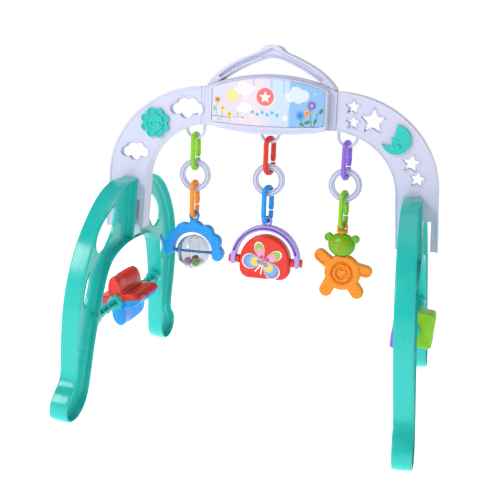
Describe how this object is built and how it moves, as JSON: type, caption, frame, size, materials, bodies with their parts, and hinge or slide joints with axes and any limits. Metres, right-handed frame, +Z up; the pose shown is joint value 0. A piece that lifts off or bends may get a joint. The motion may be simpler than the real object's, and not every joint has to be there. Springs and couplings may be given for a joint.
{
  "type": "baby activity play gym",
  "caption": "Arched activity gym on two A-shaped leg frames, with a carry handle, chain-hung turning toys and spinners on the leg cross bars.",
  "frame": {"origin": "on the floor, under the middle of the whole gym, 3.5 mm from the middle of the arch because one turning toy reaches further out than the other", "axes": "+X along the arch from the sun badge to the moon badge, +Y to the back (the panel faces -Y), +Z up"},
  "size_m": [0.5109, 0.4408, 0.511],
  "materials": {
    "teal_plastic": "smooth moulded, soft gloss",
    "lilac_plastic": "smooth moulded, soft gloss",
    "printed_label": "printed film",
    "screw_steel": "plain",
    "green_plastic": "smooth moulded, soft gloss",
    "orange_plastic": "smooth moulded, soft gloss",
    "red_plastic": "smooth moulded, soft gloss",
    "blue_plastic": "smooth moulded, soft gloss",
    "purple_plastic": "smooth moulded, soft gloss",
    "pink_plastic": "smooth moulded, soft gloss",
    "white_plastic": "smooth moulded, soft gloss",
    "clear_plastic": "polished clear"
  },
  "bodies": {
    "gym_frame": {"left_leg_frame": "teal_plastic", "right_leg_frame": "teal_plastic", "left_arch": "lilac_plastic", "right_arch": "lilac_plastic", "sun_badge": "teal_plastic", "moon_badge": "teal_plastic", "housing_rear_shell": "lilac_plastic", "housing_bezel": "lilac_plastic", "panel_label": "printed_label", "housing_screw_1": "screw_steel", "housing_screw_2": "screw_steel", "housing_screw_3": "screw_steel", "housing_screw_4": "screw_steel", "carry_handle": "lilac_plastic", "left_hanger_loop": "lilac_plastic", "centre_hanger_loop": "lilac_plastic", "right_hanger_loop": "lilac_plastic", "left_cross_bar": "teal_plastic", "right_cross_bar": "teal_plastic"},
    "left_upper_link": {"left_upper_link": "green_plastic"},
    "left_ring": {"left_ring": "lilac_plastic"},
    "left_lower_link": {"left_lower_link": "orange_plastic"},
    "bug": {"bug_frame": "blue_plastic", "ball_axle": "blue_plastic", "pink_bead": "pink_plastic", "green_bead": "green_plastic", "red_bead": "red_plastic", "white_cube_left": "white_plastic", "white_cube_right": "white_plastic"},
    "rattle_ball": {"ball_left_half": "clear_plastic", "ball_right_half": "clear_plastic"},
    "centre_upper_link": {"centre_upper_link": "red_plastic"},
    "centre_ring": {"centre_ring": "lilac_plastic"},
    "centre_lower_link": {"centre_lower_link": "blue_plastic"},
    "bail": {"bail": "purple_plastic"},
    "butterfly_spinner": {"spinner_front_shell": "red_plastic", "spinner_rear_shell": "red_plastic", "spinner_left_pin": "red_plastic", "spinner_right_pin": "red_plastic", "butterfly_label": "printed_label"},
    "right_upper_link": {"right_upper_link": "purple_plastic"},
    "right_ring": {"right_ring": "lilac_plastic"},
    "right_lower_link": {"right_lower_link": "green_plastic"},
    "bear": {"bear_body": "orange_plastic"},
    "bear_head": {"bear_head_front": "green_plastic", "bear_head_rear": "green_plastic"},
    "leg_roller": {"roller_red_half": "red_plastic", "roller_blue_half": "blue_plastic"},
    "leg_box": {"box_green_half": "green_plastic", "box_purple_half": "purple_plastic"}
  },
  "joints": [
    {"name": "left_upper_link_swing", "type": "hinge", "parent": "gym_frame", "child": "left_upper_link", "pos_m": [-0.10748, 0, 0.3762], "axis": [1, 0, 0], "range_deg": [-25, 25]},
    {"name": "left_ring_sway", "type": "hinge", "parent": "left_upper_link", "child": "left_ring", "pos_m": [-0.10748, 0, 0.3319], "axis": [0, 1, 0], "range_deg": [-2, 10]},
    {"name": "left_lower_link_swing", "type": "hinge", "parent": "left_ring", "child": "left_lower_link", "pos_m": [-0.10748, 0, 0.3019], "axis": [1, 0, 0], "range_deg": [-25, 25]},
    {"name": "bug_sway", "type": "hinge", "parent": "left_lower_link", "child": "bug", "pos_m": [-0.10748, 0, 0.2611], "axis": [0, 1, 0], "range_deg": [-3, 6]},
    {"name": "centre_upper_link_swing", "type": "hinge", "parent": "gym_frame", "child": "centre_upper_link", "pos_m": [0.00351, 0, 0.3762], "axis": [1, 0, 0], "range_deg": [-25, 25]},
    {"name": "centre_ring_sway", "type": "hinge", "parent": "centre_upper_link", "child": "centre_ring", "pos_m": [0.00351, 0, 0.3319], "axis": [0, 1, 0], "range_deg": [-2, 2]},
    {"name": "centre_lower_link_swing", "type": "hinge", "parent": "centre_ring", "child": "centre_lower_link", "pos_m": [0.00351, 0, 0.3019], "axis": [1, 0, 0], "range_deg": [-25, 25]},
    {"name": "bail_sway", "type": "hinge", "parent": "centre_lower_link", "child": "bail", "pos_m": [0.00351, 0, 0.2611], "axis": [0, 1, 0], "range_deg": [-3, 3]},
    {"name": "right_upper_link_swing", "type": "hinge", "parent": "gym_frame", "child": "right_upper_link", "pos_m": [0.11452, 0, 0.3762], "axis": [1, 0, 0], "range_deg": [-25, 25]},
    {"name": "right_ring_sway", "type": "hinge", "parent": "right_upper_link", "child": "right_ring", "pos_m": [0.11452, 0, 0.3319], "axis": [0, 1, 0], "range_deg": [-12, 8]},
    {"name": "right_lower_link_swing", "type": "hinge", "parent": "right_ring", "child": "right_lower_link", "pos_m": [0.11452, 0, 0.3019], "axis": [1, 0, 0], "range_deg": [-25, 25]},
    {"name": "bear_sway", "type": "hinge", "parent": "right_lower_link", "child": "bear", "pos_m": [0.11452, 0, 0.2611], "axis": [0, 1, 0], "range_deg": [-6, 3]},
    {"name": "rattle_ball_spin", "type": "hinge", "parent": "bug", "child": "rattle_ball", "pos_m": [-0.10748, 0, 0.206], "axis": [1, 0, 0], "continuous": true},
    {"name": "butterfly_spin", "type": "hinge", "parent": "bail", "child": "butterfly_spinner", "pos_m": [0.00351, 0, 0.2015], "axis": [1, 0, 0], "continuous": true},
    {"name": "bear_head_turn", "type": "hinge", "parent": "bear", "child": "bear_head", "pos_m": [0.11452, 0, 0.235], "axis": [0, 0, 1], "continuous": true},
    {"name": "leg_roller_spin", "type": "hinge", "parent": "gym_frame", "child": "leg_roller", "pos_m": [-0.21679, 0.005, 0.125], "axis": [0, 1, 0], "continuous": true},
    {"name": "leg_box_spin", "type": "hinge", "parent": "gym_frame", "child": "leg_box", "pos_m": [0.22382, 0, 0.125], "axis": [0, 1, 0], "continuous": true}
  ]
}
